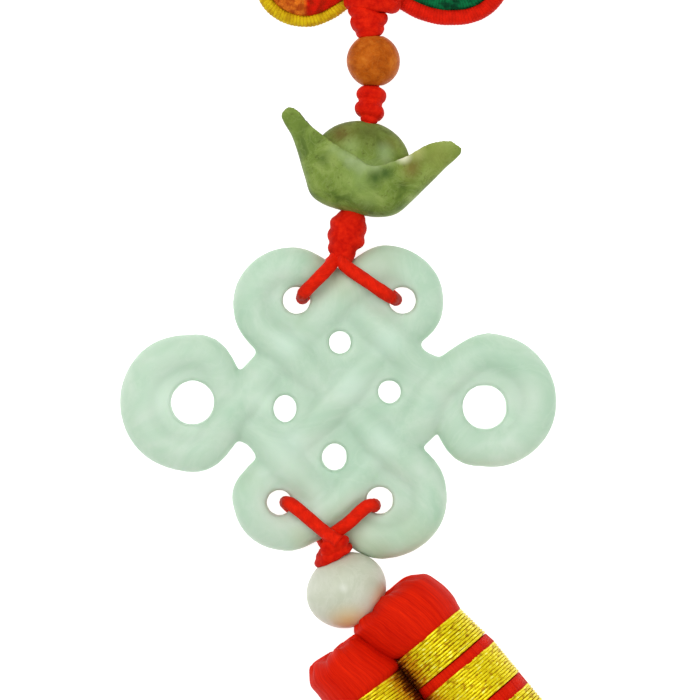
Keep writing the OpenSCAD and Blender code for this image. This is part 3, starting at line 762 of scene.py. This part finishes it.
def knotMaterial(look):
    material = newMaterial("redKnot")
    coords = objectPlace()
    fibre = noiseOf(coords, 1500, 4, 0.65)
    patch = noiseOf(coords, 620, 2)
    body = colourRamp(plus(times(fibre, 0.6), times(patch, 0.4)),
                      [(0.3, (166, 11, 5)), (0.45, (196, 20, 7)), (0.62, (222, 36, 12))])
    rough = spreadOver(patch, 0.3, 0.7, look["rough"] - 0.05, look["rough"] + 0.1)
    return dressShader(material, body, rough, fibre, 0.22, 0.06, gloss=0.1, shine=redShine)


redKnot = knotMaterial(redLook)
collar = {"heading": 119, "lean": 6, "shift": (0.6, 0.26, 0), "steps": 90,
          "turns": [(4.22, 1.93, 0.52), (4.7, 1.42, 0.6), (5.1, 0.86, 0.58)]}
for node in ("upper_knot", "bead_knot", "top_knot"):
    tieKnot(node)
tieKnot("sling_knot", soften=40, uneven=0.06)
tieKnot("lower_knot", [collarTurn(*turn) for turn in collar["turns"]], soften=9)
print("knots tied")

# ---- wound ears of the top knot
earRoutes = {
    "left": [
        (1.2, 46.7), (-0.6, 45.35), (-2.2, 44.6), (-3.8, 44.3), (-5.6, 44.6), (-7.2, 45.4), (-8.5, 46.9),
        (-9.1, 49), (-8.7, 51.2), (-7.4, 53), (-5.6, 54), (-3.7, 54.2), (-1.8, 53.7), (-0.2, 52.8),
        (1.2, 51.8)],
    "right": [
        (6.7, 47), (9.3, 45.5), (11.6, 44.8), (13.5, 44.7), (15.3, 44.9), (17.1, 45.7), (18.5, 47.2),
        (19.1, 49.3), (18.6, 51.6), (17.2, 53.4), (15.2, 54.3), (13, 54.4), (10.8, 53.8), (8.8, 52.7),
        (6.7, 51.9)]}


# an inner cord follows the outer one, drawn in towards the ear's middle
def innerEar(route, centre, share, first, last):
    drawnIn = [(centre[0] + share[0] * (x - centre[0]), centre[1] + share[1] * (y - centre[1]))
               for x, y in route[1:-1]]
    return [first, *drawnIn, last]


woundLook = {"plies": 1, "depth": 0.02, "drift": 0.03, "fibre": 6, "bump": 0.4, "mottle": 0.3,
             "rough": 0.55, "shine": redShine}
ears = {
    "left_ear_outer": {
        "route": earRoutes["left"], "radius": 0.72, "z": 0.74, "slot": "yellow_cord",
        "pitch": 0.4, "depth": 0.04, "drift": 0.05, "grooveShade": 0.4, "mottle": 0.5,
        "shade": (198, 150, 8), "light": (234, 216, 28), "deep": (156, 98, 6), "shine": (1, 0.9, 0.4, 1)},
    "left_ear_inner": {
        "route": innerEar(earRoutes["left"], (-3.7, 49.2), (0.66, 0.66), (0.6, 47.9), (0.6, 50.6)),
        "radius": 1.12, "z": 1.14, "slot": "orange_cord",
        "pitch": 0.3, "grooveShade": 0.12, "mottle": 0.7, "fibre": 9,
        "shade": (212, 72, 10), "light": (240, 150, 44), "deep": (140, 24, 6),
        "second": {"from": -4, "colour": (214, 26, 10)}},
    "right_ear_outer": {
        "route": earRoutes["right"], "radius": 0.9, "z": 0.92, "slot": "red_cord",
        "pitch": 0.36, "grooveShade": 0.2,
        "shade": (212, 18, 8), "light": (236, 40, 18), "deep": (140, 8, 6)},
    "right_ear_inner": {
        "route": innerEar(earRoutes["right"], (13.2, 49.6), (0.74, 0.69), (7.3, 47.6), (7.5, 50.3)),
        "radius": 0.77, "z": 0.79, "slot": "green_cord",
        "pitch": 0.34, "grooveShade": 0.3, "mottle": 0.8,
        "shade": (5, 78, 40), "light": (14, 132, 76), "deep": (4, 30, 18), "shine": (0.4, 1, 0.7, 1)}}
for node, ear in ears.items():
    look = {**woundLook, **ear}
    route = [spot(x, y, ear["z"]) for x, y in ear["route"]]
    earCord, _ = cordPiece(route, ear["radius"], look, gap=0.07)
    finishPiece(earCord, node, cordMaterial(node + "_thread", look))
print("ears wound")

# ---- tassels; s runs from the first gold band down the tassel, mm
# cap rows: s, sideways, z, half width, half height; bands: s, length, first and last radius;
# fringe rows: share of its length, half width, half height
tassels = {
    "left": {"at": (3.27, -33.64), "heading": -54.8, "girth": 1, "toward": 1, "cap": [
        (-5.95, -0.35, 0.9, 0.6), (-6, -0.35, 2.9, 1.9), (-5.85, -0.4, 3.4, 2.8), (-5.25, -0.5, 3.8, 3.8),
        (-4.3, -0.5, 4.3, 4.4), (-3, -0.2, 4.45, 4.75), (-1.7, 0.12, 4.72, 4.9), (-0.6, 0.3, 4.85, 4.8)]},
    "right": {"at": (10.5, -26.82), "heading": -50.2, "girth": 1.04, "toward": -1, "cap": [
        (-6.5, -1.9, 0.8, 0.5), (-6.55, -1.9, 3.4, 1.4), (-6.35, -1.6, 4.2, 2.7), (-5.95, -1.4, 4.8, 3.6),
        (-5.4, -1.2, 5.4, 4.3), (-4.4, -0.85, 5.45, 4.7), (-3, -0.6, 5.5, 4.85), (-1.5, -0.35, 5.3, 4.85),
        (-0.6, -0.28, 5.05, 4.75)]},
    "bands": [(0, 4.3, 4.55, 4.96), (5.4, 4.8, 5.1, 5.1), (11.6, 4.7, 5.06, 5.1)],
    "press": 0.5, "pressLong": 7.5, "meet": {"from": (6.2, -29.8), "heading": -51.5},
    "crease": {"aside": 4.95, "spread": 0.04, "z": 1.15, "start": -3.5, "gap": 0.5, "points": 42},
    "axisZ": 4.94, "slope": 0.03, "goldDeep": 0.7,
    "fringe": [
        (0, 4.9, 4.9), (0.05, 5.3, 4.8), (0.17, 5.8, 4.3), (0.34, 6.3, 3.6), (0.55, 6.9, 2.9),
        (0.76, 7.4, 2.5), (0.92, 7.6, 2.2), (1, 7.5, 2)],
    "fringeLong": 58, "locks": 12, "lockDeep": 0.1, "strandsRound": 72, "grooves": 0.004, "uneven": 0.007,
    "sway": 0.02, "looseStrands": 260, "strandRadius": 0.13, "strandRise": (0.94, 1.03),
    "strandEnd": (-1.6, 0.3),
    "crown": {"long": 1.6, "bunches": 4.5, "deep": 0.36, "rise": 0.2}}
fringeStart = sum(tassels["bands"][-1][:2])
bandEdge = 0.08  # between a band's ends and the silk beside it, mm


# rows of a tassel from its crown to the fringe's end: (s, sideways, z, half width, half height)
def tasselRows(side):
    girth, slope = tassels[side]["girth"], tassels["slope"]
    axisZ = tassels["axisZ"] * girth
    rows = smoothRoute([Vector((s, q, max(high, axisZ + slope * s), wide, high))
                        for s, q, wide, high in tassels[side]["cap"]], 3)
    for start, long, first, last in tassels["bands"]:
        for s in (start + bandEdge, start + 0.14, start + long - 0.14, start + long - bandEdge):
            radius = (first + (last - first) * (s - start) / long) * girth
            radius -= tassels["goldDeep"] + 0.3 if start + 0.1 < s < start + long - 0.1 else 0.08
            rows.append(Vector((s, 0, axisZ + slope * s, radius, radius)))
    return rows + smoothRoute([Vector((fringeStart + 0.5 + share * tassels["fringeLong"], 0, 0.2 + high,
                                       wide * (girth if share < 0.1 else 1), high))
                               for share, wide, high in tassels["fringe"]], 7)


def placeTassel(piece, side):
    piece.rotation_euler = (0, 0, radians(tassels[side]["heading"]))
    piece.location = spot(*tassels[side]["at"])
    bakePlace(piece)


# how far the grooves between the fringe's locks draw it in
def lockGroove(share, turn):
    return tassels["lockDeep"] * min(1, 4 * share) * (0.5 - 0.5 * cos(turn * tassels["locks"]))


def drawSilk(side):
    rows, count = tasselRows(side), tassels["strandsRound"]
    around = 2 * count
    clearSelection()
    bpy.ops.mesh.primitive_circle_add(vertices=around, radius=1, fill_type='NGON',
                                      rotation=(radians(90), 0, radians(90)))
    silk = bpy.context.object
    bakePlace(silk)
    first = rows[0]
    toMode('EDIT')
    bpy.ops.mesh.select_all(action='SELECT')
    bpy.ops.transform.resize(value=(1, first[3] * mm, first[4] * mm), center_override=(0, 0, 0))
    bpy.ops.transform.translate(value=Vector(first[:3]) * mm)
    for before, row in zip(rows, rows[1:]):
        bpy.ops.mesh.extrude_region_move()
        bpy.ops.transform.translate(value=(Vector(row[:3]) - Vector(before[:3])) * mm)
        bpy.ops.transform.resize(value=(1, row[3] / before[3], row[4] / before[4]),
                                 center_override=Vector(row[:3]) * mm)
    editWhole(silk, bpy.ops.mesh.normals_make_consistent)
    silk.data.update()
    places = []
    crown = tassels["crown"]
    strandRise = [random.uniform(-1, 1) for _ in range(count)]
    for index, vertex in enumerate(silk.data.vertices):
        row = rows[index // around]
        middle = Vector(row[:3]) * mm
        out = vertex.co - middle
        turn = atan2(out.z / row[4], out.y / row[3])
        strand = int(round(turn / fullTurn * count)) % count
        share = max(0, (row[0] - fringeStart) / tassels["fringeLong"])
        swell = 1 + tassels["grooves"] * cos(turn * count) + tassels["uneven"] * strandRise[strand]
        swell -= lockGroove(share, turn)
        swell += tassels["sway"] * noise.noise(Vector((row[0] * 0.25, cos(turn) * 2, sin(turn) * 2)))
        places.append((row[0], turn))
        vertex.co = middle + out * swell
        # the strands fold over at the crown in uneven bunches
        nearCrown = max(0, 1 - (row[0] - first[0]) / crown["long"])
        bunch = abs(sin(turn * crown["bunches"] + 0.5)) ** 0.6
        bunch += noise.noise(Vector((3 * cos(turn), 3 * sin(turn), 5)))
        vertex.co.x -= (crown["deep"] * bunch - crown["rise"]) * nearCrown * mm
        vertex.co.z = max(vertex.co.z, 0.03 * mm)
    layer = silk.data.uv_layers["UVMap"]
    for face in silk.data.polygons:
        turns = [places[silk.data.loops[k].vertex_index][1] for k in face.loop_indices]
        wrap = max(turns) - min(turns) > pi and len(turns) == 4
        for k, turn in zip(face.loop_indices, turns):
            if wrap and turn < 0:
                turn += fullTurn
            layer.data[k].uv = (places[silk.data.loops[k].vertex_index][0], turn / fullTurn + 1)
    return silk


# loose strands that lie on the fringe
def looseStrands(side):
    rows = [row for row in tasselRows(side) if row[0] > fringeStart + 0.4]
    shown = rows[::4] + [rows[-1]]
    lines = []
    for strand in range(tassels["looseStrands"]):
        turn = fullTurn * (strand + random.uniform(-0.3, 0.3)) / tassels["looseStrands"]
        sway, phase = random.uniform(-0.05, 0.05), random.uniform(0, 6.28)
        rise, ending = random.uniform(*tassels["strandRise"]), random.uniform(*tassels["strandEnd"])
        line = []
        for i, row in enumerate(shown):
            share = i / (len(shown) - 1)
            angle = turn + sway * sin(phase + 5 * share) * share
            reach = (0.97 + (rise - 0.97) * min(1, 6 * share)) * (1 - lockGroove(share, angle))
            s = row[0] + (ending if i == len(shown) - 1 else 0)
            z = max(row[2] + row[4] * reach * sin(angle), tassels["strandRadius"] + 0.03)
            line.append((s * mm, (row[1] + row[3] * reach * cos(angle)) * mm, z * mm))
        lines.append(line)
    strands, layer = meshFromLines(lines, tassels["strandRadius"] * mm, 4)
    perStrand = len(shown) * 4
    for face in strands.data.polygons:
        for k in face.loop_indices:
            index = strands.data.loops[k].vertex_index
            layer.data[k].uv = (strands.data.vertices[index].co.x / mm, (index // perStrand) / len(lines))
    editWhole(strands, bpy.ops.mesh.fill_holes, sides=0)
    return strands


silkLook = {"shade": (186, 13, 4), "light": (230, 37, 7), "deep": (150, 8, 4), "rough": 0.55}


def silkMaterial(look):
    material = newMaterial("redSilk")
    uv = uvPlace()
    around = times(uv[1], float(tassels["strandsRound"]))
    drawn = stretchedPlace(times(uv[0], 0.08), around)
    strand = noiseOf(drawn, 1, 2)
    fine = noiseOf(drawn, 5, 4, 0.65, 0.6)
    wave = mathNode('COSINE', times(around, fullTurn))
    mixed = plus(times(strand, 0.4), times(fine, 0.6))
    body = mixColour(spreadOver(mixed, 0.35, 0.65), look["shade"], look["light"])
    # painted shade: the grooves between the strands are darkened a little towards the deep colour
    body = mixColour(spreadOver(wave, -1, 0, 0.1, 0), body, look["deep"])
    rough = spreadOver(fine, 0.3, 0.7, look["rough"] - 0.08, look["rough"] + 0.1)
    height = plus(fine, times(wave, 0.06))
    return dressShader(material, body, rough, height, 0.6, 0.05, gloss=0.12, shine=(1, 0.3, 0.15, 1))


# painted shade and painted red reflection on the gold and its core where the two tassels press together:
# darker and redder towards the line where they meet
def paintedCreaseShade(body, wobble):
    meet = tassels["meet"]
    fromMeet = addNode('VectorMath', {0: objectPlace(), 1: spot(*meet["from"])},
                       operation='SUBTRACT').outputs[0]
    turned = addNode('VectorRotate', {0: fromMeet, "Angle": radians(-meet["heading"])},
                     rotation_type='Z_AXIS').outputs[0]
    aside = mathNode('ABSOLUTE', splitPlace(turned)[1])
    ragged = times(mathNode('SUBTRACT', wobble, 0.5), 3 * mm)
    aside = plus(aside, ragged)
    for near, far, share, colour in ((0.5, 2.9, 0.85, (186, 84, 12)), (0.2, 1.3, 0.95, (84, 20, 4))):
        mask = spreadOver(aside, near * mm, far * mm, share, 0, interpolation_type='SMOOTHSTEP')
        body = mixColour(mask, body, colour)
    return body


def goldMaterial():
    material = newMaterial("goldThread")
    uv = uvPlace()
    glint = noiseOf(stretchedPlace(times(uv[0], 0.55), times(uv[1], 1.2)), 2.2, 2)
    patch = spreadOver(glint, 0.34, 0.7)
    # the glint noise paints pale highlights in short streaks along the thread
    body = colourRamp(patch, [(0, (176, 130, 6)), (0.3, (226, 204, 10)), (0.7, (240, 224, 22)),
                              (1, (255, 248, 120))])
    rough = spreadOver(patch, 0, 1, 0.45, 0.25)
    return dressShader(material, paintedCreaseShade(body, glint), rough, glint, 0.4, 0.03, metal=0.25,
                       shine=(1, 0.9, 0.25, 1))


# the dark core under the gold thread: painted shade in the gaps between its turns
def gapShadeMaterial():
    material = newMaterial("goldGapShade")
    shadeMottle = noiseOf(objectPlace(), 1800, 3)
    body = colourRamp(shadeMottle, [(0.35, (112, 62, 6)), (0.65, (160, 110, 10))])
    rough = spreadOver(shadeMottle, 0, 1, 0.7, 0.9)
    return dressShader(material, paintedCreaseShade(body, shadeMottle), rough, shadeMottle, 0.5, 0.04, gloss=0.1)


gold = {"pitch": 0.365, "threadRadius": 0.178, "stepsPerTurn": 40, "unrest": 0.02, "sleeve": 0.3}
goldThread = goldMaterial()
goldGapShade = gapShadeMaterial()
redSilk = silkMaterial(silkLook)


# the two tassels press against each other at their first bands
def pressedOut(s, turn, side):
    press = tassels["press"] * max(0, 1 - max(0, s) / tassels["pressLong"])
    return press * max(0, cos(turn) * tassels[side]["toward"]) ** 4


# one long thread wound round a band, on a thin sleeve
def windBand(side, start, long, first, last):
    girth, thread, sleeveDeep = tassels[side]["girth"], gold["threadRadius"], gold["sleeve"]
    threadLong = long - 2 * bandEdge - 2 * thread
    turns = round(threadLong / gold["pitch"]) + 1
    steps = turns * gold["stepsPerTurn"]
    lean = atan(tassels["slope"])
    tilt = Matrix.Rotation(-lean, 3, 'Y')
    base = Vector((0, 0, tassels["axisZ"] * girth))
    line = []
    for i in range(steps + 1):
        share = i / steps
        turn = fullTurn * share * turns - pi / 2
        advance = min(1, max(0, (share * turns - 0.5) / (turns - 1)))
        wander = noise.noise(Vector((cos(turn) * 1.5, sin(turn) * 1.5, share * 40 + start)))
        unrest = gold["unrest"] * wander
        s = start + bandEdge + thread + threadLong * advance + unrest
        radius = (first + (last - first) * advance) * girth - thread + unrest + pressedOut(s, turn, side)
        line.append((base + tilt @ Vector((s, radius * cos(turn), radius * sin(turn)))) * mm)
    threadTube = tubeAlong(line, thread * mm, 8)
    clearSelection()
    bpy.ops.mesh.primitive_cone_add(vertices=64, radius1=(first - sleeveDeep) * girth * mm,
                                    radius2=(last - sleeveDeep) * girth * mm,
                                    depth=(long - 2 * sleeveDeep) * mm, end_fill_type='NOTHING',
                                    location=(base + tilt @ Vector((start + long / 2, 0, 0))) * mm,
                                    rotation=(0, radians(90) - lean, 0))
    sleeve = bpy.context.object
    shapeWith(sleeve, 'SOLIDIFY', thickness=sleeveDeep * mm, offset=-1)
    bakePlace(sleeve)
    threadFaces = len(threadTube.data.polygons)
    return joinInto(threadTube, [sleeve]), threadFaces


# a lock of the left tassel's silk lies low in the crease between the two heads
def creaseLock():
    crease = tassels["crease"]
    line = [Vector((s, crease["aside"] + crease["spread"] * s, crease["z"])) * mm
            for s in (crease["start"] + crease["gap"] * i for i in range(crease["points"]))]
    return tubeAlong(line, crease["z"] * 0.97 * mm, 16)


for side in ("left", "right"):
    silk = drawSilk(side)
    joinInto(silk, [looseStrands(side)] + ([creaseLock()] if side == "left" else []))
    placeTassel(silk, side)
    finishPiece(silk, side + "_tassel", redSilk)
    for number, band in enumerate(tassels["bands"], start=1):
        wound, threadFaces = windBand(side, *band)
        placeTassel(wound, side)
        finishPiece(wound, f"{side}_band_{number}", goldThread)
        # the sleeve faces take the dark core material: painted shade between the turns of thread
        wound.data.materials.append(goldGapShade)
        for face in wound.data.polygons[threadFaces:]:
            face.material_index = 1
    print(side, "tassel made,", len(silk.data.polygons), "faces")

# ---- floor and light
studio = {"floorWide": 1.6, "floorGlow": 0.85, "skyStrength": 0.5, "aim": (-0.02, 0.03, 0),
          "panelSize": 0.6, "key": {"at": (-0.25, 0.32, 0.8), "power": 4.2},
          "fill": {"at": (0.35, -0.15, 0.8), "power": 1.8}}
clearSelection()
bpy.ops.mesh.primitive_plane_add(size=studio["floorWide"], location=(0, 0, -0.02 * mm))
floor = bpy.context.object
floor.name = "floor"
floor.data.materials.append(newMaterial("paleFloor"))
for socket, value in (("Base Color", (0.5, 0.5, 0.5, 1)), ("Roughness", 0.9), ("Emission Color", white),
                      ("Emission Strength", studio["floorGlow"])):
    current["tree"].nodes["Principled BSDF"].inputs[socket].default_value = value

world = bpy.data.worlds.new("studioSky")
bpy.context.scene.world = world
world.use_nodes = True
sky = world.node_tree.nodes["Background"]
sky.inputs["Color"].default_value = white
sky.inputs["Strength"].default_value = studio["skyStrength"]
for name in ("key", "fill"):
    bpy.ops.object.light_add(type='AREA', location=studio[name]["at"])
    panel = bpy.context.object
    panel.name = name + "Panel"
    panel.data.size = studio["panelSize"]
    panel.data.energy = studio[name]["power"]
    aim = Vector(studio["aim"]) - Vector(studio[name]["at"])
    panel.rotation_euler = aim.to_track_quat('-Z', 'Y').to_euler()
bpy.context.scene.view_settings.view_transform = 'Standard'
print("floor and light set")
